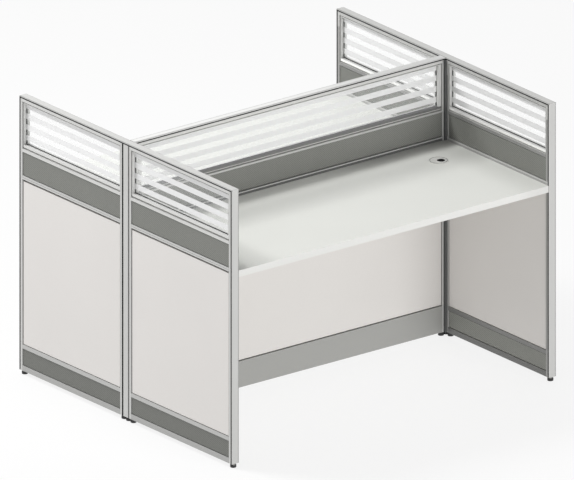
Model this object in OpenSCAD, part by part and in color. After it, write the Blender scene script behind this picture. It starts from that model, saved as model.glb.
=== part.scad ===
// Cubicle workstation: two straight side runs of framed panels, a spine panel
// between them, and a worktop on either side of the spine.
// X runs across the cubicle, Y from the front opening to the back opening,
// Z up. The origin is on the floor in the middle.

/* [Overall] */
// Clear width between the two side runs
clear_w = 1409; // [1200:1:1600]
// Depth over the end caps of a side run
depth = 1240; // [1100:1:1500]
// Height to the top of the caps
height = 1064; // [1040:1:1120]
// Thickness of every panel
T = 32; // [32:1:36]

/* [Panel frame] */
// Width of an upright's face
stile_w = 11.5; // [11:0.5:16]
// Wall of the aluminium extrusions
wall = 1.5; // [1.2:0.1:1.8]
// Height of the frame above the floor
foot_gap = 16; // [14:1:24]
// Width of the shadow groove beside a post or an end cap
groove = 5.2; // [3:0.1:5.6]
// Height of the shadow groove under a top cap
cap_gap = 4.2; // [3:0.1:5]
// Depth of a post along the run, between its grooves
post_d = 30.3; // [28:0.1:34]
// Width of the neck that fills a groove in the middle
neck_w = 19; // [16:1:22]
// Thickness of a cap plate at the top
cap_t = 3.7; // [3:0.1:5]
// Thickness of a cap plate at a run's end
end_t = 2.25; // [2:0.25:4]

/* [Infill] */
// How far the infill lies behind the frame's face
recess = 2.5; // [1.5:0.5:2.5]
// Open crevice at each side of a tile
crevice = 4; // [2:0.5:6]
// Thickness of a tile board
tile_t = 9.5; // [8:0.5:9.5]
// Sheet thickness of the pressed covers
sheet = 1.5; // [1:0.25:2]
// Thickness of the glass
glass_t = 4; // [3:0.5:6]

/* [Worktop] */
// Height of the worktop's upper face
desk_z = 750; // [744:1:756]
// Thickness of the worktop
desk_t = 25; // [20:1:30]
// Distance of the grommet from the middle
grommet_x = 553; // [300:1:560]
// Distance of the grommet from the spine's middle plane
grommet_y = 170; // [110:1:300]

/* [Feet] */
// Diameter of a foot pad
pad_d = 22.5; // [18:0.5:23]
// Height of a foot pad
pad_h = 9; // [7:0.5:10]

/* [Hidden] */
$fn = 48;

run_x = clear_w / 2 + T / 2;                       // middle plane of a side run
end_y = depth / 2;                                 // face of an end cap
run_y1 = end_y - end_t - groove;                   // outer end of a run panel
run_y0 = post_d / 2 + groove;                      // post end of a run panel
run_l = run_y1 - run_y0;                           // length of a run panel
run_c = (run_y1 + run_y0) / 2;                     // middle of a run panel
spine_l = clear_w - 4;                             // length of the spine panel
frame_top = height - cap_t - cap_gap - 0.1;        // top of the uprights
dz = frame_top - 1056.7;                           // lift of the upper zones
z_bot = [foot_gap, foot_gap + 20.5];               // bottom rail
z_low = [101.3, 116.4];                            // lower rail
z_up = [748.6, 762.9];                             // upper rail
z_belt = [853.4, 865.1];                           // rail over the belt
z_belt_s = [857.8, 865.1];                         // the same in the spine
z_head = [frame_top - 10.7, frame_top];            // head rail
z_tile = [118.8, 740.6];                           // tile
z_tile_s = [121, 740.6];                           // tile of the spine
z_kick = [foot_gap + 22.6, 99];                    // kick cover
z_cover = [765.4, 850.6];                          // belt cover
z_cover_s = [767.5, 856.6];                        // belt cover of the spine
z_glaze = [870.8, z_head[0] - 3.7];                // glazing frame
sill_h = 9.4;                                      // face of its sill
rim = 2;                                           // face of its other sides
rim_s = 12.5;                                      // the same at the two ends of the spine
seal_w = 3.5;                                      // glass edge seal
seal_b = 2;                                        // the same on the sill
seal_in = 0.8;                                     // seals lie this far behind a face
corner_w = 8;                                      // strip in an inner corner
rib = 8;                                           // rib behind the infill
rib_l = 10;                                        // its reach
lip = 12;                                          // reach of a rail's lip
cover_gap = 2;                                     // side gap of a pressed cover
bolt_z = [220, 500, 810];                          // bolts into the posts
function mid(z) = (z[0] + z[1]) / 2;
function screw_z(zb) = [mid(z_low), mid(z_up), mid(zb), mid(z_head)];
insert_h = 35;                                     // foot insert
stud_r = 3;                                        // levelling stud
arm_w = 2.5;                                       // bracket plate
arm_z = [600, 660];                                // bracket screws into the upright
arm_y = [80, 250, 420];                            // bracket screws into the worktop
alu = "silver";
tile_c = "whitesmoke";
grey_c = "dimgray";
desk_c = "gainsboro";
black_c = "black";

// ---- shared shapes -------------------------------------------------------

// Places a piece of a panel of the left or right run, front or back
module on_run(sx, sy) { translate([sx * run_x, sy * run_c, 0]) rotate(90) children(); }

// Rectangle with round corners, made of exact arcs
module soft_rect(w, h, r) {
    square([w, h - 2 * r], center = true);
    square([w - 2 * r, h], center = true);
    for (x = [-1, 1], y = [-1, 1]) translate([x * (w / 2 - r), y * (h / 2 - r)]) circle(r, $fn = 24);
}

// Bar along X with the section drawn in Y and Z
module along_x(l) { rotate([90, 0, 90]) linear_extrude(l, center = true) children(); }

// Box given by its low and high corners
module span(a, b) { translate(a) cube(b - a); }

// Upright extrusion, joint side at x = 0 and infill side at x = stile_w
module stile(zb) {
    difference() {
        union() {
            translate([stile_w / 2, 0, foot_gap]) linear_extrude(frame_top - foot_gap) difference() {
                soft_rect(stile_w, T, 1);
                square([stile_w - 2 * wall, T - 2 * wall], center = true);
            }
            for (z = [[z_bot[1], z_low[0]], [z_low[1], z_up[0]], [z_up[1], zb[0]]])
                span([stile_w - 1, -rib / 2, z[0]], [stile_w + rib_l, rib / 2, z[1]]);
        }
        // round top corner
        translate([0, 0, frame_top]) rotate([90, 0, 0]) linear_extrude(T + 2, center = true) difference() {
            translate([-1, -3]) square([4, 4]);
            translate([3, -3]) circle(3, $fn = 32);
        }
        // access holes and screw holes for the rails
        for (z = screw_z(zb)) translate([0, 0, z]) rotate([0, 90, 0]) {
            translate([0, 0, -1]) cylinder(r = 4.7, h = wall + 2);
            cylinder(r = 2.6, h = stile_w + 1);
        }
        // bolt holes towards the post
        for (z = bolt_z) translate([-1, 0, z]) rotate([0, 90, 0]) cylinder(r = 3.2, h = wall + 2);
    }
}

// Two uprights of a panel of length l, with its belt rail at zb; the one at
// end ax has the bracket's screw holes in its face at side ay
module stiles(l, zb = z_belt, ax = 0, ay = 0) {
    difference() {
        for (s = [0, 1]) mirror([s, 0, 0]) translate([-l / 2, 0, 0]) stile(zb);
        if (ax != 0) for (z = arm_z) translate([ax * (l / 2 - stile_w / 2), ay * T / 2, z]) rotate([90, 0, 0])
            cylinder(r = 2.45, h = 8, center = true);
    }
}

// Hollow rail with a screw channel, and lips that back the infill; nick is
// the depth of a fine line along both faces
module rail(l, z, d, up, down, nick = 0) {
    h = z[1] - z[0];
    translate([0, 0, z[0]]) {
        along_x(l - 2 * stile_w) difference() {
            union() {
                difference() {
                    translate([-d / 2, 0]) square([d, h]);
                    translate([-d / 2 + wall, wall]) square([d - 2 * wall, h - 2 * wall]);
                }
                translate([0, h / 2]) intersection() {
                    circle(r = 5.2);
                    square([20, h], center = true);
                }
                translate([-0.8, 0]) square([1.6, h]);
            }
            translate([0, h / 2]) circle(r = 2.55);
            if (nick > 0) for (s = [-1, 1]) translate([s * d / 2, h / 2]) square([2 * nick, 1.5], center = true);
        }
        if (up > 0) along_x(l - 2 * stile_w - 2 * rib_l) translate([-rib / 2, h - 0.5]) square([rib, up + 0.5]);
        if (down > 0) along_x(l - 2 * stile_w - 2 * rib_l) translate([-rib / 2, -down]) square([rib, down + 0.5]);
    }
}

// The five rails of a panel, with the two lowest d deep and the belt rail at zb
module rails(l, d, zb = z_belt) {
    rail(l, z_bot, d, lip, 0);
    rail(l, z_low, d, lip, lip);
    rail(l, z_up, T, lip, lip, 0.9);
    rail(l, zb, T, 0, lip);
    rail(l, z_head, T, 0, 0);
}

// Boards on both faces
module tiles(l, z = z_tile) {
    w = l / 2 - stile_w - crevice;
    for (s = [0, 1]) mirror([0, s, 0])
        span([-w, T / 2 - recess - tile_t, z[0]], [w, T / 2 - recess, z[1]]);
}

// Pressed pan with returned edges on the +Y face
module pan(w, z, face, back) {
    difference() {
        span([-w, back, z[0]], [w, face, z[1]]);
        span([-w + sheet, back - 1, z[0] + sheet], [w - sheet, face - sheet, z[1] - sheet]);
    }
}

// Belt covers on both faces
module belt_covers(l, z = z_cover) {
    w = l / 2 - stile_w - cover_gap;
    for (s = [0, 1]) mirror([0, s, 0]) pan(w, z, T / 2 - recess, rib / 2);
}

// Kick covers on both faces
module kick_covers(l) {
    w = l / 2 - stile_w - cover_gap;
    for (s = [0, 1]) mirror([0, s, 0]) pan(w, z_kick, T / 2 - recess, rib / 2);
}

// Half width of the glazed opening inside its frame, whose ends show a face r wide
function open_w(l, r = rim) = l / 2 - stile_w - crevice - r;

// Glazing frame: a lining ring on a tongue that joins the uprights and rails
module glazing_frame(l, zb = z_belt, r = rim) {
    o = l / 2 - stile_w;
    g = o - crevice;
    difference() {
        union() {
            span([-g, -T / 2 + recess, z_glaze[0]], [g, T / 2 - recess, z_glaze[1]]);
            span([-o, -rib / 2, zb[1]], [o, rib / 2, z_head[0]]);
        }
        span([-open_w(l, r), -T, z_glaze[0] + sill_h], [open_w(l, r), T, z_glaze[1] - rim]);
    }
}

// Glass pane inside its edge seal
module pane(l, r = rim) {
    w = open_w(l, r) - seal_w;
    span([-w, -glass_t / 2, z_glaze[0] + sill_h + seal_b], [w, glass_t / 2, z_glaze[1] - rim - seal_w]);
}

// Edge seal; flat is how far a flat flange on the sill reaches from the middle
module edge_seal(l, flat = 0, r = rim) {
    w = open_w(l, r);
    z = z_glaze[0] + sill_h;
    difference() {
        span([-w, -glass_t / 2, z], [w, glass_t / 2, z_glaze[1] - rim]);
        span([-w + seal_w, -T, z + seal_b], [w - seal_w, T, z_glaze[1] - rim - seal_w]);
    }
    if (flat > 0) span([-w, -flat, z], [w, flat, z + 1]);
}

// ---- panels --------------------------------------------------------------

module run_stiles(sx, sy) { color(alu) on_run(sx, sy) stiles(run_l, z_belt, -sy, sx); }
module run_rails(sx, sy) { color(alu) on_run(sx, sy) rails(run_l, T); }
module run_tiles(sx, sy) { color(tile_c) on_run(sx, sy) tiles(run_l); }
module run_covers(sx, sy) { color(grey_c) on_run(sx, sy) { belt_covers(run_l); kick_covers(run_l); } }
module run_glass(sx, sy) { color("lightcyan", 0.4) on_run(sx, sy) pane(run_l); }

module spine_stiles() { color(alu) stiles(spine_l, z_belt_s); }
module spine_rails() { color(alu) rails(spine_l, T - 6, z_belt_s); }
module spine_tiles() { color(tile_c) tiles(spine_l, z_tile_s); }
module spine_belt_covers() { color(grey_c) belt_covers(spine_l, z_cover_s); }
module spine_glass() { color("lightcyan", 0.4) pane(spine_l, rim_s); }

// Pull-off base cover on one face of the spine, with lugs under the lower rail
module spine_base_cover(s) {
    w = spine_l / 2 - stile_w - 1;
    color("gray") mirror([0, s, 0]) {
        difference() {
            span([-w, T / 2 - 2.6, foot_gap + 0.5], [w, T / 2, z_low[1] + 0.6]);
            span([-w + sheet, 0, foot_gap + 0.5 + sheet], [w - sheet, T / 2 - sheet, z_low[1] + 0.6 - sheet]);
        }
        for (x = [-540, -180, 180, 540]) {
            span([x - 12, 8, z_low[0] - 3.2], [x + 12, T / 2 - sheet + 0.1, z_low[0] - 1.2]);
            span([x - 12, 8, z_bot[1] + 1.2], [x + 12, T / 2 - sheet + 0.1, z_bot[1] + 3.2]);
        }
    }
}

// ---- posts and caps ------------------------------------------------------

// Post extrusion; its outer face looks to -X
module post() {
    h = post_d / 2;
    color(alu) difference() {
        translate([0, 0, foot_gap]) linear_extrude(frame_top - foot_gap) {
            difference() {
                union() {
                    polygon([[-T / 2, -h + 3], [-T / 2 + 1.6, -h], [T / 2, -h], [T / 2, h], [-T / 2 + 1.6, h], [-T / 2, h - 3]]);
                    for (s = [-1, 1]) translate([-neck_w / 2, s > 0 ? h - 1 : -h - groove]) square([neck_w, groove + 1]);
                    translate([T / 2 - 1, -neck_w / 2]) square([3, neck_w]);
                }
                square([T - 5, post_d - 5], center = true);
            }
            difference() {
                union() {
                    circle(r = 8.5);
                    for (a = [45, 135]) rotate(a) square([37, 1.6], center = true);
                }
                circle(r = 5.5);
            }
        }
        for (z = bolt_z) translate([0, 0, z]) {
            rotate([90, 0, 0]) for (s = [0, 1]) mirror([0, 0, s]) translate([0, 0, 9]) cylinder(r = 3.05, h = 12);
            rotate([0, 90, 0]) translate([0, 0, 9]) cylinder(r = 3.05, h = 12);
        }
    }
}

// Cap section: plate with round arrises on a neck, the plate's underside at 0
function arc_pts(cx, cy, r, a0, a1, n) = [for (i = [0 : n]) let (a = a0 + (a1 - a0) * i / n) [cx + r * cos(a), cy + r * sin(a)]];
module cap_plate(w, t, r) {
    polygon(concat([[-w / 2, 0], [w / 2, 0]], arc_pts(w / 2 - r, t - r, r, 0, 90, 8), arc_pts(-w / 2 + r, t - r, r, 90, 180, 8)));
}

// Top cap of a side run, one length over both panels and the post
module run_top_cap(sx) {
    color(alu) translate([sx * run_x, 0, 0]) {
        intersection() {
            translate([0, 0, height - cap_t]) rotate([90, 0, 0]) linear_extrude(depth, center = true) cap_plate(T, cap_t, 3);
            translate([0, 0, height - cap_t]) along_x(T + 2) cap_plate(depth, cap_t, 3.4);
        }
        span([-neck_w / 2, -run_y1, frame_top], [neck_w / 2, run_y1, height - cap_t]);
    }
}

// Top cap of the spine, butting against the caps of the runs
module spine_top_cap() {
    color(alu) {
        translate([0, 0, height - cap_t]) along_x(clear_w - 0.4) cap_plate(T, cap_t, 3);
        span([-spine_l / 2, -neck_w / 2, frame_top], [spine_l / 2, neck_w / 2, height - cap_t]);
    }
}

// End cap of a side run: bevelled plate on a neck
module end_cap() {
    translate([0, 0, foot_gap]) linear_extrude(height - cap_t - foot_gap) {
        y = end_y - end_t;
        polygon([[-T / 2, y], [T / 2, y], [T / 2, y + 0.5], [T / 2 - 4.5, end_y], [-T / 2 + 4.5, end_y], [-T / 2, y + 0.5]]);
        translate([-neck_w / 2, run_y1]) square([neck_w, groove + 0.5]);
    }
}
module end_caps() { color(alu) for (x = [-1, 1], s = [0, 1]) translate([x * run_x, 0, 0]) mirror([0, s, 0]) end_cap(); }

module glazing_frames() {
    color(alu) {
        for (x = [-1, 1], y = [-1, 1]) on_run(x, y) glazing_frame(run_l);
        glazing_frame(spine_l, z_belt_s, rim_s);
    }
}
module glazing_seals() {
    color(black_c) {
        for (x = [-1, 1], y = [-1, 1]) on_run(x, y) edge_seal(run_l);
        edge_seal(spine_l, T / 2 - recess - 0.6, rim_s);
    }
}

// Black strips on both sides of a neck, sunk a little into the groove; the
// groove runs from a to b, along Y with the strips to either side in X
module groove_strips(a, b) {
    for (s = [0, 1]) mirror([s, 0, 0]) span([neck_w / 2, a[0], a[1]], [T / 2 - seal_in, b[0], b[1]]);
}

// Black seals in the grooves beside the posts, end caps and top caps, and in
// the inner corners above the worktops and below their brackets
module joint_seals() {
    color(black_c) {
        for (x = [-run_x, run_x], s = [0, 1]) translate([x, 0, 0]) mirror([0, s, 0]) {
            groove_strips([run_y1, foot_gap], [end_y - end_t, height - cap_t]);
            groove_strips([post_d / 2, foot_gap], [run_y0, frame_top]);
            groove_strips([0, frame_top], [run_y1, height - cap_t]);
        }
        rotate(90) groove_strips([-spine_l / 2, frame_top], [spine_l / 2, height - cap_t]);
        for (s = [0, 1], t = [0, 1], z = [[foot_gap, desk_z - desk_t - 165], [desk_z + 0.5, frame_top]]) mirror([s, 0, 0]) mirror([0, t, 0])
            span([clear_w / 2 - corner_w, T / 2, z[0]], [clear_w / 2, T / 2 + corner_w, z[1]]);
    }
}

// ---- worktops ------------------------------------------------------------

// Shapes below are drawn for the front worktop; a half turn gives the back one
module worktop() {
    w = clear_w / 2 - 0.3;
    color(desk_c) difference() {
        span([-w, -end_y + 3, desk_z - desk_t], [w, -T / 2 - 0.6, desk_z]);
        translate([grommet_x, -grommet_y, desk_z - desk_t - 1]) cylinder(r = 34, h = desk_t + 2, $fn = 64);
        for (s = [-1, 1], y = arm_y) translate([s * (clear_w / 2 - 16), -y, desk_z - desk_t - 1]) cylinder(r = 2.5, h = 16, $fn = 24);
    }
}

// Folded steel bracket under each end of a worktop
module bracket() {
    zt = desk_z - desk_t;
    translate([clear_w / 2, 0, 0]) difference() {
        union() {
            translate([-arm_w, 0, 0]) rotate([90, 0, 90]) linear_extrude(arm_w)
                polygon([[-20, zt], [-450, zt], [-450, zt - 30], [-60, zt - 150], [-20, zt - 150]]);
            span([-26, -450, zt - arm_w], [0, -34, zt]);
        }
        for (z = arm_z) translate([0, -run_y0 - stile_w / 2, z]) rotate([0, 90, 0]) cylinder(r = 2.7, h = 20, center = true, $fn = 24);
        for (y = arm_y) translate([-16, -y, zt]) cylinder(r = 2.7, h = 20, center = true, $fn = 24);
    }
}
module brackets() { color("lightgray") for (s = [0, 1]) mirror([s, 0, 0]) bracket(); }

// Liner pressed into the worktop, with a seat for the turning cap
module grommet_liner() {
    color(desk_c) translate([grommet_x, -grommet_y, desk_z]) difference() {
        union() {
            translate([0, 0, -desk_t + 1]) cylinder(r = 34, h = desk_t + 0.5, $fn = 64);
            cylinder(r = 36, h = 2, $fn = 64);
        }
        translate([0, 0, -0.5]) cylinder(r = 31.9, h = 5, $fn = 64);
        translate([0, 0, -desk_t - 1]) cylinder(r = 29, h = desk_t + 5, $fn = 64);
    }
}

// Turning cap with its cable outlet off centre
module grommet_cap() {
    color(desk_c) translate([grommet_x, -grommet_y, desk_z]) difference() {
        union() {
            translate([0, 0, -0.4]) cylinder(r = 31.2, h = 2.4, $fn = 64);
            translate([0, 0, -9]) cylinder(r = 28.94, h = 9, $fn = 64);
        }
        translate([0, 0, -10]) cylinder(r = 27.2, h = 9.6, $fn = 64);
        translate([6, -7, -12]) cylinder(r = 14.2, h = 20, $fn = 64);
    }
}

// ---- feet and fasteners --------------------------------------------------

// Levelling foot: pad moulded on a stud with a spanner collar
module foot(x, y) {
    color(black_c) translate([x, y, 0]) {
        cylinder(r = pad_d / 2 - 0.8, h = 1.5);
        translate([0, 0, 1.2]) cylinder(r = pad_d / 2, h = pad_h - 1.2);
        translate([0, 0, pad_h - 1]) cylinder(r = 5.77, h = 3.5, $fn = 6);
        translate([0, 0, pad_h - 1]) cylinder(r = stud_r, h = 43 - pad_h + 1);
    }
}
foot_y = [-run_y1 + stile_w / 2, -run_y0 - stile_w / 2, 0, run_y0 + stile_w / 2, run_y1 - stile_w / 2];
spine_foot_x = spine_l / 2 - stile_w / 2;

module foot_inserts() {
    color("slategray") translate([0, 0, foot_gap]) {
        for (x = [-run_x, run_x]) {
            for (i = [0, 1, 3, 4]) translate([x, foot_y[i], 0]) difference() {
                translate([-T / 2 + wall, -stile_w / 2 + wall, 0]) cube([T - 2 * wall, stile_w - 2 * wall, insert_h]);
                translate([0, 0, -1]) cylinder(r = stud_r + 0.05, h = insert_h + 2);
            }
            translate([x, 0, 0]) difference() {
                cylinder(r = 5.5, h = insert_h);
                translate([0, 0, -1]) cylinder(r = stud_r + 0.05, h = insert_h + 2);
            }
        }
        for (x = [-spine_foot_x, spine_foot_x]) translate([x, 0, 0]) difference() {
            translate([-stile_w / 2 + wall, -T / 2 + wall, 0]) cube([stile_w - 2 * wall, T - 2 * wall, insert_h]);
            translate([0, 0, -1]) cylinder(r = stud_r + 0.05, h = insert_h + 2);
        }
    }
}

// Button head bolt; its head rests at z = 0 and the shank runs down
module bolt(l) {
    cylinder(r = 4.9, h = 3.5, $fn = 32);
    translate([0, 0, -l]) cylinder(r = 3, h = l + 1, $fn = 32);
}
module post_bolts() {
    color("slategray") for (x = [-1, 1], z = bolt_z) {
        for (s = [-1, 1]) translate([x * run_x, s * (run_y0 + wall), z]) rotate([-90 * s, 0, 0]) bolt(11.5);
        translate([x * (spine_l / 2 - wall), 0, z]) rotate([0, -90 * x, 0]) bolt(9);
    }
}

// Screws that draw the rails to the uprights, heads inside the uprights
module rail_screw() {
    cylinder(r = 4.3, h = 3, $fn = 32);
    translate([0, 0, -20]) cylinder(r = 2.5, h = 21, $fn = 32);
}
module panel_screws(l, zb = z_belt) {
    for (s = [-1, 1], z = screw_z(zb)) translate([s * (l / 2 - stile_w + wall), 0, z]) rotate([0, 90 * s, 0]) rail_screw();
}
module rail_screws() {
    color("slategray") {
        for (x = [-1, 1], y = [-1, 1]) on_run(x, y) panel_screws(run_l);
        panel_screws(spine_l, z_belt_s);
    }
}

// Pan head screws of the worktop brackets
module arm_screw() {
    cylinder(r = 4.5, h = 2.8, $fn = 32);
    translate([0, 0, -15]) cylinder(r = 2.4, h = 16, $fn = 32);
}
module bracket_screws() {
    color("slategray") for (t = [0, 180], s = [-1, 1]) rotate(t) {
        for (z = arm_z) translate([s * (clear_w / 2 - arm_w), -run_y0 - stile_w / 2, z]) rotate([0, -90 * s, 0]) arm_screw();
        for (y = arm_y) translate([s * (clear_w / 2 - 16), -y, desk_z - desk_t - arm_w]) rotate([180, 0, 0]) arm_screw();
    }
}

// ---- nodes ---------------------------------------------------------------

run_stiles(-1, -1);  // left_front_stiles
run_rails(-1, -1);  // left_front_rails
run_tiles(-1, -1);  // left_front_tiles
run_covers(-1, -1);  // left_front_covers
run_glass(-1, -1);  // left_front_glass
run_stiles(-1, 1);  // left_back_stiles
run_rails(-1, 1);  // left_back_rails
run_tiles(-1, 1);  // left_back_tiles
run_covers(-1, 1);  // left_back_covers
run_glass(-1, 1);  // left_back_glass
run_stiles(1, -1);  // right_front_stiles
run_rails(1, -1);  // right_front_rails
run_tiles(1, -1);  // right_front_tiles
run_covers(1, -1);  // right_front_covers
run_glass(1, -1);  // right_front_glass
run_stiles(1, 1);  // right_back_stiles
run_rails(1, 1);  // right_back_rails
run_tiles(1, 1);  // right_back_tiles
run_covers(1, 1);  // right_back_covers
run_glass(1, 1);  // right_back_glass
spine_stiles();
spine_rails();
spine_tiles();
spine_belt_covers();
spine_glass();
spine_base_cover(1);  // spine_base_cover_front
spine_base_cover(0);  // spine_base_cover_back
translate([-run_x, 0, 0]) post();  // post_left
translate([run_x, 0, 0]) mirror([1, 0, 0]) post();  // post_right
run_top_cap(-1);  // left_top_cap
run_top_cap(1);  // right_top_cap
spine_top_cap();
end_caps();
glazing_frames();
glazing_seals();
joint_seals();
worktop();  // worktop_front
rotate(180) worktop();  // worktop_back
brackets();  // brackets_front
rotate(180) brackets();  // brackets_back
grommet_liner();  // grommet_liner_front
rotate(180) grommet_liner();  // grommet_liner_back
grommet_cap();  // grommet_cap_front
rotate(180) grommet_cap();  // grommet_cap_back
foot(-run_x, foot_y[0]);  // foot_left_1
foot(-run_x, foot_y[1]);  // foot_left_2
foot(-run_x, foot_y[2]);  // foot_left_3
foot(-run_x, foot_y[3]);  // foot_left_4
foot(-run_x, foot_y[4]);  // foot_left_5
foot(run_x, foot_y[0]);  // foot_right_1
foot(run_x, foot_y[1]);  // foot_right_2
foot(run_x, foot_y[2]);  // foot_right_3
foot(run_x, foot_y[3]);  // foot_right_4
foot(run_x, foot_y[4]);  // foot_right_5
foot(-spine_foot_x, 0);  // foot_spine_left
foot(spine_foot_x, 0);  // foot_spine_right
foot_inserts();
post_bolts();
rail_screws();
bracket_screws();
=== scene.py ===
import bpy, bmesh, math
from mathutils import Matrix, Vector


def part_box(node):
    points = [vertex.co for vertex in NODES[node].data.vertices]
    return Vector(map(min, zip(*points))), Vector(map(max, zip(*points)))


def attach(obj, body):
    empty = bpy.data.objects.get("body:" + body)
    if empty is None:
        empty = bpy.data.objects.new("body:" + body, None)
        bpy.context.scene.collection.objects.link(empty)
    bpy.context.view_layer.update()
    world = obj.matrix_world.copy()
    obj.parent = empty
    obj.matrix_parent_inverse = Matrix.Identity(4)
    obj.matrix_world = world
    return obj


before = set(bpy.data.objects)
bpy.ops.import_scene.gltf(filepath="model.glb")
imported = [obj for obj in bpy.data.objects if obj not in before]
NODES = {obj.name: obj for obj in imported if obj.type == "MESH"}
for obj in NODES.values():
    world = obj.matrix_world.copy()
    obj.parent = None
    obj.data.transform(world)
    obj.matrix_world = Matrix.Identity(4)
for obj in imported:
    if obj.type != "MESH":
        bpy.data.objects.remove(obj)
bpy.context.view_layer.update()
scene = bpy.context.scene
scene.view_settings.view_transform = "Standard"
scene.view_settings.look = "None"
scene.view_settings.exposure = 0.0
scene.view_settings.gamma = 1.0

# --------------------------------------------------------------------------
# camera: parallel projection at the photograph's viewing angle
# --------------------------------------------------------------------------
AZ, EL = math.radians(-37.96), math.radians(20.506)
back = Vector((math.sin(AZ) * math.cos(EL), -math.cos(AZ) * math.cos(EL), math.sin(EL)))
right = Vector((math.cos(AZ), math.sin(AZ), 0.0))
up = back.cross(right)
aim = right * -0.00226 + up * 0.4901
cam_data = bpy.data.cameras.new("camera")
cam_data.type = "ORTHO"
cam_data.ortho_scale = 2.0566
cam_data.clip_start, cam_data.clip_end = 0.05, 60.0
cam = bpy.data.objects.new("camera", cam_data)
scene.collection.objects.link(cam)
cam.location = aim + back * 6.0
cam.rotation_mode = "QUATERNION"
cam.rotation_quaternion = (-back).to_track_quat("-Z", "Y")
scene.camera = cam


# --------------------------------------------------------------------------
# node helpers
# --------------------------------------------------------------------------
def srgb(r, g, b):
    f = lambda v: v / 12.92 if v <= 0.04045 else ((v + 0.055) / 1.055) ** 2.4
    return (f(r / 255.0), f(g / 255.0), f(b / 255.0), 1.0)


def shade(c, k):
    return (min(c[0] * k, 1.0), min(c[1] * k, 1.0), min(c[2] * k, 1.0), 1.0)


class Mat:
    """A Principled material with small helpers for its procedural inputs."""

    def __init__(self, name, rough=0.5, metal=0.0, spec=0.5):
        self.m = bpy.data.materials.new(name)
        self.m.use_nodes = True
        self.t = self.m.node_tree
        self.p = self.t.nodes["Principled BSDF"]
        self.p.inputs["Roughness"].default_value = rough
        self.p.inputs["Metallic"].default_value = metal
        self.p.inputs["Specular IOR Level"].default_value = spec
        self.co = self.t.nodes.new("ShaderNodeTexCoord").outputs["Object"]

    def new(self, kind, **props):
        n = self.t.nodes.new(kind)
        for k, v in props.items():
            setattr(n, k, v)
        return n

    def link(self, a, b):
        self.t.links.new(a, b)

    def scaled(self, sx, sy, sz, src=None):
        n = self.new("ShaderNodeMapping")
        n.inputs["Scale"].default_value = (sx, sy, sz)
        self.link(src or self.co, n.inputs["Vector"])
        return n.outputs["Vector"]

    def noise(self, vec, scale, detail=2.0, rough=0.5):
        n = self.new("ShaderNodeTexNoise")
        n.inputs["Scale"].default_value = scale
        n.inputs["Detail"].default_value = detail
        n.inputs["Roughness"].default_value = rough
        self.link(vec, n.inputs["Vector"])
        return n.outputs["Fac"]

    def math(self, op, a, b=None, c=None, clamp=False):
        n = self.new("ShaderNodeMath", operation=op, use_clamp=clamp)
        for i, v in enumerate((a, b, c)):
            if v is None:
                continue
            if isinstance(v, (int, float)):
                n.inputs[i].default_value = v
            else:
                self.link(v, n.inputs[i])
        return n.outputs[0]

    def rng(self, v, a0, a1, b0, b1, smooth=False):
        n = self.new("ShaderNodeMapRange", interpolation_type="SMOOTHSTEP" if smooth else "LINEAR")
        for i, x in zip(("From Min", "From Max", "To Min", "To Max"), (a0, a1, b0, b1)):
            n.inputs[i].default_value = x
        self.link(v, n.inputs["Value"])
        return n.outputs["Result"]

    def mix(self, fac, a, b):
        n = self.new("ShaderNodeMix", data_type="RGBA")
        self.link(fac, n.inputs["Factor"])
        for i, v in ((6, a), (7, b)):
            if isinstance(v, (tuple, list)):
                n.inputs[i].default_value = v
            else:
                self.link(v, n.inputs[i])
        return n.outputs[2]

    def xyz(self, src=None):
        n = self.new("ShaderNodeSeparateXYZ")
        self.link(src or self.co, n.inputs[0])
        return n.outputs[0], n.outputs[1], n.outputs[2]

    def inward(self):
        """1 on faces of the side runs that look towards the middle of the cubicle."""
        x, _, _ = self.xyz()
        nx, _, _ = self.xyz(self.new("ShaderNodeNewGeometry").outputs["True Normal"])
        return self.math("LESS_THAN", self.math("MULTIPLY", self.math("SIGN", x), nx), -0.6)

    def color(self, v):
        self.link(v, self.p.inputs["Base Color"])

    def rough(self, v):
        self.link(v, self.p.inputs["Roughness"])

    def bump(self, h, strength, dist):
        n = self.new("ShaderNodeBump")
        n.inputs["Strength"].default_value = strength
        n.inputs["Distance"].default_value = dist
        self.link(h, n.inputs["Height"])
        self.link(n.outputs[0], self.p.inputs["Normal"])


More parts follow.
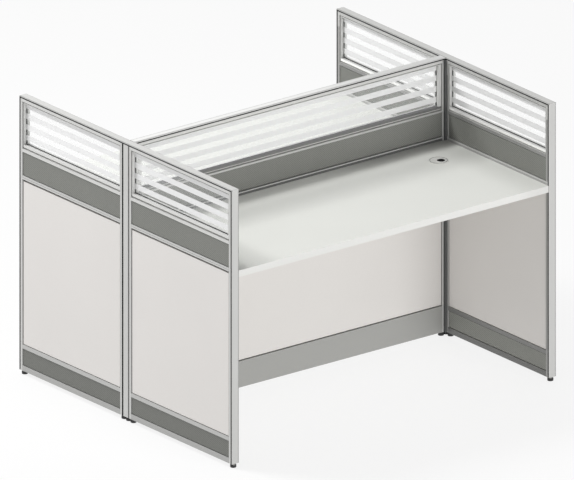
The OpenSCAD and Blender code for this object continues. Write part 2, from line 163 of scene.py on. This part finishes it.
# --------------------------------------------------------------------------
# materials
# --------------------------------------------------------------------------
def extruded(name, base, axis, rough=0.42, low=None, ribs=None, inner=None, arris=None, sill=None, walls=None,
             lit=None, right=None, bevel=None, tone=None):
    """Satin anodised aluminium with fine draw lines along axis. The other arguments paint light and shade into its
    colour.
    low paints shade towards the floor. ribs = (axis, half) paints black crevice shade within half of a panel's
    middle plane, on the lips behind the infill. inner paints shade onto the faces of the side runs that look into
    the cubicle, less of it above 1 m and in two bands near 0.75 m. arris = (axis, middle, factor, start) paints
    shade along the two long edges of a cap, and sill paints shade onto the spine's sill and the seam over the
    worktops. walls lists spans of
    |Y| painted black as shade on the walls of a groove, lit is a painted highlight on the inner sills of the side runs,
    right is how dark the painted shade on the spine's cap gets towards its right end, and bevel paints shade onto
    one chamfer of the end caps. tone lists heights between which a rail is painted brighter or darker than the rest,
    as painted light and shade, with factors for its outer and its inner face."""
    m = Mat(name, rough, METAL)
    s = [900.0, 900.0, 900.0]
    s[axis] = 2.5
    lines = m.noise(m.scaled(*s), 1.0, 3.0, 0.6)
    cloud = m.noise(m.co, 6.0, 2.0)
    col = m.mix(m.math("MULTIPLY_ADD", lines, 0.5, m.math("MULTIPLY", cloud, 0.5)), shade(base, 0.955), shade(base, 1.045))
    x, y, z = m.xyz()
    # painted shade towards the floor
    if low:
        col = m.mix(m.rng(z, 0.02, 0.20, low, 0.0), col, shade(base, 0.25))
    # painted crevice shade: black on the lips behind the infill, below 0.8655 m
    if ribs:
        v = m.math("SUBTRACT", m.math("ABSOLUTE", (x, y)[ribs[0]]), ribs[1])
        crevice_shade = m.math("MULTIPLY", m.math("LESS_THAN", m.math("ABSOLUTE", v), 0.0042), m.math("LESS_THAN", z, 0.8655))
        col = m.mix(crevice_shade, col, CREVICE_SHADE)
    # painted shade on faces that look into the cubicle, less of it above 1 m and in two bands near 0.75 m
    if inner:
        k = m.math("MULTIPLY_ADD", m.math("GREATER_THAN", z, 1.0), -0.32, inner)
        k = m.math("MULTIPLY_ADD", m.math("LESS_THAN", m.math("ABSOLUTE", m.math("SUBTRACT", z, 0.7545)), 0.0135), -0.17, k)
        k = m.math("MULTIPLY_ADD", m.math("LESS_THAN", m.math("ABSOLUTE", m.math("SUBTRACT", z, 0.7605)), 0.0030), -0.28, k)
        col = m.mix(m.math("MULTIPLY", m.inward(), k), col, srgb(20, 20, 20))
    # painted shade along the two long edges of a cap
    if arris:
        v = m.math("ABSOLUTE", m.math("SUBTRACT", m.math("ABSOLUTE", (x, y)[arris[0]]), arris[1]))
        col = m.mix(m.rng(v, arris[3], 0.0135, 0.0, 1.0), col, shade(base, arris[2]))
    # painted shade on a band of the spine at the height that sill gives
    if sill:
        spine = m.math("LESS_THAN", m.math("ABSOLUTE", x), 0.7035)
        band = m.math("LESS_THAN", m.math("ABSOLUTE", m.math("SUBTRACT", z, sill[0])), sill[1])
        col = m.mix(m.math("MULTIPLY", spine, band), col, shade(base, sill[2]))
    # painted shade: the walls of a groove drawn black
    for a, b in walls or ():
        v = m.math("ABSOLUTE", m.math("SUBTRACT", m.math("ABSOLUTE", y), (a + b) / 2))
        col = m.mix(m.math("LESS_THAN", v, (b - a) / 2), col, srgb(16, 16, 17))
    # painted highlight on the inner sills of the side runs
    if lit:
        low_sill = m.math("LESS_THAN", z, 0.8835)
        side = m.math("GREATER_THAN", m.math("ABSOLUTE", x), 0.7)
        col = m.mix(m.math("MULTIPLY", m.math("MULTIPLY", low_sill, side), m.inward()), col, lit)
    # painted shade on one chamfer of the end caps
    if bevel:
        nx, _, _ = m.xyz(m.new("ShaderNodeNewGeometry").outputs["True Normal"])
        nx = m.math("MULTIPLY", nx, m.math("MULTIPLY", m.math("SIGN", y), -1.0))
        col = m.mix(m.math("MULTIPLY", m.math("GREATER_THAN", nx, 0.2), m.math("LESS_THAN", nx, 0.6)), col, shade(base, bevel))
    # painted shade towards the right end of the spine's cap
    if right:
        col = m.mix(m.rng(x, 0.0, 0.5, 0.0, 1.0, True), col, shade(base, right))
    # painted light and shade: rail bands brighter or darker between the given heights
    for z0, z1, outer, into in tone or ():
        band = m.math("MULTIPLY", m.math("GREATER_THAN", z, z0), m.math("LESS_THAN", z, z1))
        k = m.math("MULTIPLY_ADD", m.inward(), into - outer, outer - 1.0)
        n = m.new("ShaderNodeVectorMath", operation="SCALE")
        m.link(col, n.inputs[0])
        m.link(m.math("MULTIPLY_ADD", band, k, 1.0), n.inputs["Scale"])
        col = n.outputs[0]
    m.color(col)
    m.rough(m.rng(lines, 0.3, 0.7, rough - 0.05, rough + 0.06))
    m.bump(lines, 0.10, 0.0002)
    return m.m


METAL = 0.3
# painted crevice shade for the lips behind the infill
CREVICE_SHADE = srgb(40, 40, 40)
ALU = srgb(212, 212, 210)
ALU_FACE = srgb(198, 198, 196)
RUN_X = 0.7205
END_Y = 0.620
# the finishes below get painted light and shade through low, ribs, inner, arris, sill, walls, lit, right, bevel and
# tone
alu_x = extruded("aluminium_along_x", srgb(205, 205, 203), 0, ribs=(1, 0.0), sill=(0.7545, 0.0045, 0.25),
                 tone=((0.856, 0.8655, 0.87, 0.87), (1.035, 1.06, 1.09, 1.09)))
alu_y = extruded("aluminium_along_y", ALU_FACE, 1, low=0.40, ribs=(0, RUN_X), inner=0.50,
                 tone=((0.0, 0.06, 1.0, 0.82), (0.09, 0.12, 1.0, 0.93), (0.74, 0.77, 0.945, 1.08),
                       (0.85, 0.8655, 1.10, 1.0), (1.035, 1.06, 1.07, 1.09)))
END_IN = (END_Y - 0.00225 - 0.0052, END_Y - 0.00225)  # groove beside an end cap
POST_IN = (0.01515, 0.01515 + 0.0052)  # groove beside a post
alu_z = extruded("aluminium_along_z", ALU_FACE, 2, inner=0.40, ribs=(0, RUN_X),
                 walls=((END_IN[0] - 0.0008, END_IN[0] + 0.001), (POST_IN[0] - 0.0006, POST_IN[1] + 0.0008)))
alu_end = extruded("aluminium_end_cap", srgb(194, 194, 192), 2, walls=((END_IN[0], END_IN[1] + 0.0002),),
                   bevel=0.60)
alu_zs = extruded("aluminium_spine_z", ALU, 2, ribs=(1, 0.0))
alu_cap = extruded("aluminium_cap_y", ALU, 1, arris=(0, RUN_X, 0.50, 0.0125))
# painted shade: the right-hand cap is a darker copy of the left one's aluminium
alu_cap_r = extruded("aluminium_cap_y_right", srgb(206, 206, 204), 1, arris=(0, RUN_X, 0.50, 0.0125))
# painted light: the spine's cap is a paler copy of the caps' aluminium, with painted shade along its long edges and
# towards its right end
alu_cap_x = extruded("aluminium_cap_x", srgb(243, 243, 241), 0, arris=(1, 0.0, 0.66, 0.006), right=0.74)
alu_glazing = extruded("aluminium_glazing", ALU, 2, sill=(0.8770, 0.0045, 0.30), lit=srgb(250, 250, 248))


def board(name, base, grain, rough=0.5, edge=None, corner=None):
    """Melamine facing with a fine pebble, a faint cloudiness and, if asked, a paler edge band and a soft shade
    towards the inner corner on the grommet's side."""
    m = Mat(name, rough, 0.0, 0.35)
    cloud = m.noise(m.co, 3.0, 3.0)
    fine = m.noise(m.co, grain, 3.0, 0.6)
    f = m.math("MULTIPLY_ADD", fine, 0.6, m.math("MULTIPLY", cloud, 0.4))
    col = m.mix(m.rng(f, 0.3, 0.7, 0.0, 1.0), shade(base, 0.972), shade(base, 1.028))
    if edge:
        g = m.new("ShaderNodeNewGeometry")
        nx, ny, nz = m.xyz(g.outputs["True Normal"])
        flat = m.rng(m.math("ABSOLUTE", nz), 0.6, 0.9, 1.0, 0.0)
        col = m.mix(flat, col, edge)
    if corner:
        x, y, _ = m.xyz()
        u = m.math("MULTIPLY", x, m.math("MULTIPLY", m.math("SIGN", y), -1.0))
        by_spine = m.math("MULTIPLY", m.rng(u, 0.05, 0.50, 0.0, 1.0, True),
                          m.rng(m.math("ABSOLUTE", y), 0.02, 0.115, 1.0, 0.0, True))
        by_run = m.rng(u, 0.55, 0.66, 0.0, 1.0, True)
        col = m.mix(m.math("MULTIPLY", by_run, 0.09), col, srgb(0, 0, 0))
        col = m.mix(m.math("MULTIPLY", by_spine, corner), col, srgb(0, 0, 0))
    m.color(col)
    m.rough(m.rng(fine, 0.3, 0.7, rough - 0.06, rough + 0.07))
    m.bump(fine, 0.16, 0.0004)
    return m.m


tile_mat = board("tile_facing", srgb(219, 216, 213), 420.0, 0.55)
desk_mat = board("worktop_laminate", srgb(228, 229, 224), 520.0, 0.48, srgb(223, 223, 220), corner=0.48)
# the photograph's rear worktop, seen through the glass, is paler
# painted light: the rear worktop's laminate is a paler copy of the front one's
desk_rear = board("worktop_laminate_rear", srgb(234, 235, 231), 520.0, 0.48, srgb(223, 223, 220), corner=0.48)


def dotted(name, base, along, rough=0.6, kick=0.76, kick_in=0.76):
    """Painted sheet with staggered rows of small perforation dots, 8 mm apart both ways. Below 0.6 m, and fully
    below 0.2 m, its colour is scaled by kick on outer faces and by kick_in on faces that look into the cubicle:
    painted shade where the factor is below 1, painted light where it is above.
    """
    m = Mat(name, rough, 0.0, 0.4)
    x, y, z = m.xyz()
    u = (x, y)[along]
    pitch = 0.008
    row = m.math("DIVIDE", z, pitch / 2)
    rown = m.math("FLOOR", row)
    odd = m.math("FLOORED_MODULO", rown, 2.0)
    us = m.math("ADD", m.math("DIVIDE", u, pitch), m.math("MULTIPLY", odd, 0.5))
    du = m.math("MULTIPLY", m.math("SUBTRACT", m.math("FRACT", us), 0.5), pitch)
    dv = m.math("MULTIPLY", m.math("SUBTRACT", m.math("FRACT", row), 0.5), pitch / 2)
    r = m.math("SQRT", m.math("ADD", m.math("MULTIPLY", du, du), m.math("MULTIPLY", dv, dv)))
    hole = m.rng(r, 0.0011, 0.0016, 1.0, 0.0, True)
    cloud = m.noise(m.co, 8.0, 3.0)
    fine = m.noise(m.co, 900.0, 2.0)
    paint = m.mix(m.math("MULTIPLY_ADD", cloud, 0.6, m.math("MULTIPLY", fine, 0.4)), shade(base, 0.95), shade(base, 1.07))
    # painted light and shade near the floor, set apart for outer and inward faces
    k = m.math("MULTIPLY_ADD", m.inward(), kick_in - kick, kick)
    up = m.rng(z, 0.2, 0.6, 0.0, 1.0)
    dark = m.math("ADD", m.math("MULTIPLY", up, 1.0), m.math("MULTIPLY", m.math("SUBTRACT", 1.0, up), k))
    col = m.new("ShaderNodeVectorMath", operation="SCALE")
    m.link(m.mix(hole, paint, shade(base, 0.35)), col.inputs[0])
    m.link(dark, col.inputs["Scale"])
    m.color(col.outputs[0])
    m.rough(m.rng(fine, 0.3, 0.7, rough - 0.05, rough + 0.05))
    m.bump(m.math("SUBTRACT", m.math("MULTIPLY", fine, 0.1), hole), 0.5, 0.0006)
    return m.m


dot_x = dotted("perforated_sheet_x", srgb(136, 137, 132), 0)
dot_y = dotted("perforated_sheet_y", srgb(129, 130, 125), 1, kick=0.82, kick_in=1.24)


def painted(name, base, rough=0.5, grain=700.0, strength=0.15):
    m = Mat(name, rough, 0.0, 0.4)
    cloud = m.noise(m.co, 5.0, 3.0)
    fine = m.noise(m.co, grain, 3.0, 0.6)
    m.color(m.mix(m.math("MULTIPLY_ADD", cloud, 0.5, m.math("MULTIPLY", fine, 0.5)), shade(base, 0.95), shade(base, 1.05)))
    m.rough(m.rng(fine, 0.3, 0.7, rough - 0.06, rough + 0.06))
    m.bump(fine, strength, 0.0003)
    return m.m


base_mat = painted("base_cover_paint", srgb(161, 161, 158), 0.5)
steel_mat = painted("bracket_powder_coat", srgb(190, 190, 187), 0.55, 900.0, 0.25)


# black seals; the flat one on the spine's sill is grey, and the strips in the inner corners are grey with painted
# light on their faces that look along Y
sm = Mat("seal_rubber", 0.75, 0.0, 0.15)
sfine = sm.noise(sm.co, 1200.0, 3.0)
sx, sy, sz = sm.xyz()
sax, say = sm.math("ABSOLUTE", sx), sm.math("ABSOLUTE", sy)
corner = sm.math("MULTIPLY", sm.math("LESS_THAN", sax, 0.7044), sm.math("GREATER_THAN", say, 0.0161))
flat = sm.math("MULTIPLY", sm.math("LESS_THAN", sax, 0.7044), sm.math("LESS_THAN", sz, 0.8830))
flat = sm.math("MULTIPLY", flat, sm.math("LESS_THAN", say, 0.0160))
scol = sm.mix(sfine, srgb(11, 11, 12), srgb(19, 19, 20))
_, sny, snz = sm.xyz(sm.new("ShaderNodeNewGeometry").outputs["True Normal"])
# painted light: the corner strips are lighter on their faces that look along Y
strip = sm.mix(sm.math("GREATER_THAN", sm.math("ABSOLUTE", sny), 0.6), srgb(78, 79, 79), srgb(104, 105, 105))
scol = sm.mix(corner, scol, sm.mix(sfine, strip, srgb(84, 85, 85)))
pane = sm.math("MULTIPLY", sm.math("GREATER_THAN", sz, 0.8825), sm.math("LESS_THAN", sz, 1.042))
pane = sm.math("MULTIPLY", pane, sm.math("LESS_THAN", sm.math("ABSOLUTE", snz), 0.5))
on_run = sm.math("LESS_THAN", sm.math("ABSOLUTE", sm.math("SUBTRACT", sax, RUN_X)), 0.0025)
run_end = sm.math("MULTIPLY", on_run, sm.math("GREATER_THAN", sm.math("ABSOLUTE", sny), 0.6))
on_spine = sm.math("LESS_THAN", say, 0.0025)
spine_end = sm.math("MULTIPLY", on_spine, sm.math("LESS_THAN", sm.math("ABSOLUTE", sny), 0.6))
pane = sm.math("MULTIPLY", pane, sm.math("MAXIMUM", run_end, sm.math("MULTIPLY", spine_end, sm.math("LESS_THAN", sax, 0.7))))
scol = sm.mix(pane, scol, srgb(150, 152, 150))
# the flat one's rear half, seen through the glass, carries a painted reflection that makes it paler, most at its
# left end
sill_grey_and_reflection = sm.mix(sfine, srgb(112, 112, 112), srgb(126, 126, 126))
painted_reflection = sm.mix(sm.rng(sx, -0.6, 0.6, 0.0, 1.0, True), srgb(226, 226, 225), srgb(168, 168, 167))
sill_grey_and_reflection = sm.mix(sm.math("GREATER_THAN", sy, 0.001), sill_grey_and_reflection, painted_reflection)
sm.color(sm.mix(flat, scol, sill_grey_and_reflection))
sm.rough(sm.rng(sfine, 0.3, 0.7, 0.68, 0.82))
sm.bump(sfine, 0.2, 0.0002)
seal_mat = sm.m

# grommet: light grey moulding whose inside, below the worktop's face, is black, with painted shade around the cap's
# edge and on its outlet
gm = Mat("grommet_moulding", 0.45, 0.0, 0.4)
gfine = gm.noise(gm.co, 1100.0, 3.0)
gx, gy, gz = gm.xyz()
# distances from the cap's axis and from its outlet's, for the one on the right (a half turn gives the other)
gu, gv = gm.math("MULTIPLY", gx, gm.math("SIGN", gx)), gm.math("MULTIPLY", gy, gm.math("SIGN", gx))


def off(u, v, cu, cv):
    du, dv = gm.math("SUBTRACT", u, cu), gm.math("SUBTRACT", v, cv)
    return gm.math("SQRT", gm.math("ADD", gm.math("MULTIPLY", du, du), gm.math("MULTIPLY", dv, dv)))


# painted shade: a black ring a little wider than the gap between cap and liner, and black on the outlet's walls and
# a thin rim round it
gap = gm.math("LESS_THAN", gm.math("ABSOLUTE", gm.math("SUBTRACT", off(gu, gv, 0.553, -0.170), 0.03155)), 0.0009)
hole = gm.math("LESS_THAN", off(gu, gv, 0.559, -0.177), 0.0147)
dark = gm.math("MAXIMUM", gm.math("MAXIMUM", gap, hole), gm.math("LESS_THAN", gz, 0.7497))
gm.color(gm.mix(dark, gm.mix(gfine, srgb(212, 212, 208), srgb(226, 226, 222)), srgb(16, 16, 16)))
gm.rough(gm.rng(gfine, 0.3, 0.7, 0.4, 0.5))
gm.bump(gfine, 0.2, 0.0002)
grommet_mat = gm.m

zinc = Mat("zinc_plate", 0.35, 1.0)
zn = zinc.noise(zinc.co, 260.0, 3.0)
zinc.color(zinc.mix(zn, srgb(168, 168, 166), srgb(206, 206, 203)))
zinc.rough(zinc.rng(zn, 0.3, 0.7, 0.28, 0.45))
zinc.bump(zn, 0.1, 0.0002)
zinc_mat = zinc.m


def foot_material(name, cx, cy):
    """Black moulded pad with a bright stud and collar, told apart by distance from the foot's axis and by height."""
    m = Mat(name, 0.4, 0.0, 0.5)
    x, y, z = m.xyz()
    dx, dy = m.math("SUBTRACT", x, cx), m.math("SUBTRACT", y, cy)
    r = m.math("SQRT", m.math("ADD", m.math("MULTIPLY", dx, dx), m.math("MULTIPLY", dy, dy)))
    stud = m.math("MULTIPLY", m.math("LESS_THAN", r, 0.0066), m.math("GREATER_THAN", z, 0.0085))
    fine = m.noise(m.co, 900.0, 3.0)
    pad = m.mix(fine, srgb(22, 22, 23), srgb(36, 36, 37))
    metal = m.mix(fine, srgb(176, 176, 174), srgb(214, 214, 211))
    m.color(m.mix(stud, pad, metal))
    m.link(stud, m.p.inputs["Metallic"])
    m.rough(m.rng(fine, 0.3, 0.7, 0.32, 0.48))
    m.bump(fine, 0.12, 0.0002)
    return m.m


# clear float glass, faintly green at its edges
gl = Mat("clear_glass", 0.02, 0.0, 0.5)
gn = gl.noise(gl.co, 2.0, 2.0)
gl.color(gl.mix(gn, (0.955, 0.975, 0.968, 1.0), (0.975, 0.99, 0.985, 1.0)))
gl.p.inputs["IOR"].default_value = 1.45
gl.p.inputs["Alpha"].default_value = 0.093
glass_mat = gl.m

# frosted adhesive film; the right-hand panes get greyer copies of it as painted shade
def frosted(name, low, high):
    fm = Mat(name, 0.55, 0.0, 0.3)
    fn = fm.noise(fm.co, 700.0, 3.0, 0.6)
    fm.color(fm.mix(fn, srgb(low, low, low), srgb(high, high, high)))
    fm.p.inputs["Alpha"].default_value = 0.80
    fm.rough(fm.rng(fn, 0.3, 0.7, 0.5, 0.62))
    fm.bump(fn, 0.05, 0.0001)
    return fm.m


film_mat = frosted("frosted_film", 230, 238)
# painted shade: greyer film for the right-hand panes
films = {"right_front_glass": frosted("frosted_film_painted_shade", 220, 228),
         "right_back_glass": frosted("frosted_film_painted_lighter_shade", 222, 230)}


def assign(node, *mats):
    o = NODES[node]
    o.data.materials.clear()
    for m in mats:
        o.data.materials.append(m)
    for p in o.data.polygons:
        p.material_index = 0


runs = ["left_front", "left_back", "right_front", "right_back"]
for r in runs:
    assign(r + "_stiles", alu_z)
    assign(r + "_rails", alu_y)
    assign(r + "_tiles", tile_mat)
    assign(r + "_covers", dot_y)
    assign(r + "_glass", glass_mat)
assign("spine_stiles", alu_zs)
assign("spine_rails", alu_x)
assign("spine_tiles", tile_mat)
assign("spine_belt_covers", dot_x)
assign("spine_glass", glass_mat)
for n in ("spine_base_cover_front", "spine_base_cover_back"):
    assign(n, base_mat)
for n in ("post_left", "post_right"):
    assign(n, alu_z)
assign("end_caps", alu_end)
assign("left_top_cap", alu_cap)
assign("right_top_cap", alu_cap_r)
assign("spine_top_cap", alu_cap_x)
assign("glazing_frames", alu_glazing)
assign("glazing_seals", seal_mat)
assign("joint_seals", seal_mat)
for s in ("front", "back"):
    assign("worktop_" + s, desk_mat if s == "front" else desk_rear)
    assign("brackets_" + s, steel_mat)
    assign("grommet_liner_" + s, grommet_mat)
    assign("grommet_cap_" + s, grommet_mat)
for n in NODES:
    if n.startswith("foot_") and n != "foot_inserts":
        lo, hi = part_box(n)
        assign(n, foot_material("mat_" + n, (lo.x + hi.x) / 2, (lo.y + hi.y) / 2))
for n in ("foot_inserts", "post_bolts", "rail_screws", "bracket_screws"):
    assign(n, zinc_mat)


# small arrises on the boards
for n in NODES:
    if n.startswith("worktop_") or n.endswith("_tiles"):
        b = NODES[n].modifiers.new("arris", "BEVEL")
        b.width = 0.0012 if n.startswith("worktop_") else 0.0006
        b.segments = 2
        b.limit_method = "ANGLE"
        b.angle_limit = math.radians(50)

# --------------------------------------------------------------------------
# frosted film stripes on one face of every pane
# --------------------------------------------------------------------------
def add_piece(name, bm, mat, body):
    me = bpy.data.meshes.new(name)
    bm.to_mesh(me)
    bm.free()
    o = bpy.data.objects.new(name, me)
    scene.collection.objects.link(o)
    me.materials.append(mat)
    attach(o, body)
    return o


def bm_box(bm, lo, hi):
    v = [bm.verts.new((x, y, z)) for x in (lo[0], hi[0]) for y in (lo[1], hi[1]) for z in (lo[2], hi[2])]
    for f in ((0, 1, 3, 2), (4, 6, 7, 5), (0, 4, 5, 1), (2, 3, 7, 6), (0, 2, 6, 4), (1, 5, 7, 3)):
        bm.faces.new([v[i] for i in f])


STRIPES = [1.0289, 0.9881, 0.9474, 0.9067]
HALF = 0.0107
SEAL = 0.0035
FILM = 0.00025


def film(node, name, side):
    lo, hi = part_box(node)
    slo, shi = lo - Vector((SEAL,) * 3), hi + Vector((SEAL,) * 3)
    axis = 0 if (hi.x - lo.x) < (hi.y - lo.y) else 1  # thin axis
    bm = bmesh.new()
    for z in STRIPES:
        a, b = [0, 0, 0], [0, 0, 0]
        face = (lo, hi)[side > 0][axis]
        a[axis], b[axis] = sorted((face + side * 0.00004, face + side * (FILM + 0.00004)))
        long = 1 - axis
        a[long], b[long] = slo[long] + 0.0003, shi[long] - 0.0003
        a[2], b[2] = z - HALF, z + HALF
        bm_box(bm, a, b)
    bmesh.ops.recalc_face_normals(bm, faces=bm.faces)
    o = add_piece(name, bm, films.get(node, film_mat), "frame")
    o.visible_shadow = False  # frosted film scatters light through, it doesn't stop it
    return o


for r in runs + ["spine"]:
    film(r + "_glass", "film_" + r, -1)

# --------------------------------------------------------------------------
# floor and light
# --------------------------------------------------------------------------
bm = bmesh.new()
bmesh.ops.create_circle(bm, cap_ends=True, radius=24.0, segments=96)
me = bpy.data.meshes.new("floor")
bm.to_mesh(me)
bm.free()
floor = bpy.data.objects.new("floor", me)
scene.collection.objects.link(floor)
fl = Mat("pale_floor", 0.8, 0.0, 0.1)
fnz = fl.noise(fl.co, 1.2, 2.0)
fl.color(fl.mix(fnz, (0.140, 0.140, 0.140, 1.0), (0.150, 0.150, 0.150, 1.0)))
fl.p.inputs["Emission Color"].default_value = (1.0, 1.0, 1.0, 1.0)
fl.p.inputs["Emission Strength"].default_value = 0.822
me.materials.append(fl.m)

world = bpy.data.worlds.new("studio")
scene.world = world
world.use_nodes = True
wt = world.node_tree
bg = wt.nodes["Background"]
wco = wt.nodes.new("ShaderNodeTexCoord")
wsep = wt.nodes.new("ShaderNodeSeparateXYZ")
wrng = wt.nodes.new("ShaderNodeMapRange")
wt.links.new(wco.outputs["Generated"], wsep.inputs[0])
wt.links.new(wsep.outputs[2], wrng.inputs["Value"])
for k, v in (("From Min", 0.05), ("From Max", 0.75), ("To Min", 1.0), ("To Max", 0.42)):
    wrng.inputs[k].default_value = v
wy = wt.nodes.new("ShaderNodeMapRange")
wt.links.new(wsep.outputs[1], wy.inputs["Value"])
for k, v in (("From Min", -0.7), ("From Max", 0.7), ("To Min", 0.68), ("To Max", 1.14)):
    wy.inputs[k].default_value = v
wmul = wt.nodes.new("ShaderNodeMath")
wmul.operation = "MULTIPLY"
wt.links.new(wrng.outputs[0], wmul.inputs[0])
wt.links.new(wy.outputs[0], wmul.inputs[1])
wt.links.new(wmul.outputs[0], bg.inputs["Color"])
bg.inputs["Strength"].default_value = 1.0


def area(name, loc, target, size, watts, color=(1, 1, 1)):
    d = bpy.data.lights.new(name, "AREA")
    d.shape = "DISK"
    d.size = size
    d.energy = watts
    d.color = color
    o = bpy.data.objects.new(name, d)
    scene.collection.objects.link(o)
    o.location = loc
    o.rotation_mode = "QUATERNION"
    o.rotation_quaternion = (Vector(target) - Vector(loc)).to_track_quat("-Z", "Y")
    return o


area("key", (-2.5, 2.85, 5.6), (0, 0, 0.5), 2.2, 274.0)
area("fill", (1.2, -6.5, 1.6), (0, 0, 0.4), 3.5, 146.0)
